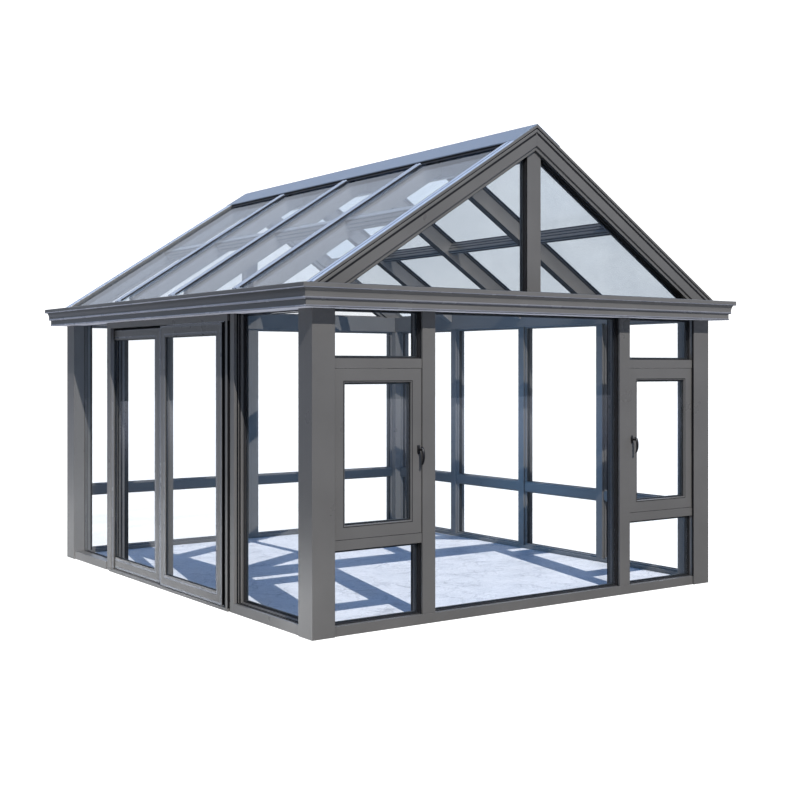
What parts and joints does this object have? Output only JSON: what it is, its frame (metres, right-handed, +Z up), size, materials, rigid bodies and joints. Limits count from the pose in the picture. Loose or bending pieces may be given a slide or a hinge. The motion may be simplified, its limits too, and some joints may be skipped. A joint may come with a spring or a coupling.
{
  "type": "gable-roofed glass sunroom",
  "caption": "Gable-roofed garden sunroom: grey aluminium frame, glass walls and roof, moulded cornice, stone floor, casement windows in the gable wall and a glazed sliding door.",
  "frame": {"origin": "centre of the plan at ground level, under the floor", "axes": "+Z up, -Y out of the front gable wall with the windows, -X out of the wall with the sliding door"},
  "size_m": [4.678, 5.358, 4.0341],
  "materials": {
    "frame_grey": "satin grey powder coat",
    "wall_glass": "clear double glazing",
    "roof_glass": "lightly tinted, reflective double glazing",
    "floor_stone": "polished white marble with grey veins",
    "handle_black": "black satin coat"
  },
  "bodies": {
    "house": {"floor_slab": "floor_stone", "corner_posts": "frame_grey", "wall_sills": "frame_grey", "front_mullions": "frame_grey", "right_mullions": "frame_grey", "back_mullion": "frame_grey", "left_mullion": "frame_grey", "mid_rails": "frame_grey", "window_transoms": "frame_grey", "left_window_sash": "frame_grey", "right_window_sash": "frame_grey", "window_glass": "wall_glass", "window_handles": "handle_black", "front_glass": "wall_glass", "left_glass": "wall_glass", "right_glass": "wall_glass", "back_glass": "wall_glass", "side_beams": "frame_grey", "gable_beams": "frame_grey", "cornice_front": "frame_grey", "cornice_back": "frame_grey", "cornice_left": "frame_grey", "cornice_right": "frame_grey", "front_verge": "frame_grey", "back_verge": "frame_grey", "rafters_left": "frame_grey", "rafters_right": "frame_grey", "purlins_left": "frame_grey", "purlins_right": "frame_grey", "ridge_beam": "frame_grey", "rafter_caps_left": "frame_grey", "rafter_caps_right": "frame_grey", "ridge_cap": "frame_grey", "king_posts": "frame_grey", "gable_glass": "wall_glass", "roof_glass_left": "roof_glass", "roof_glass_right": "roof_glass", "eave_trims": "frame_grey", "door_head": "frame_grey", "door_threshold": "frame_grey", "door_jambs": "frame_grey"},
    "near_door": {"near_door_panel": "frame_grey", "near_door_glass": "wall_glass"},
    "far_door": {"far_door_panel": "frame_grey", "far_door_glass": "wall_glass"}
  },
  "joints": [
    {"name": "near_door_slide", "type": "slide", "parent": "house", "child": "near_door", "axis": [0, 1, 0], "range_m": [0, 1.14]},
    {"name": "far_door_slide", "type": "slide", "parent": "house", "child": "far_door", "axis": [0, -1, 0], "range_m": [0, 1.13]}
  ]
}
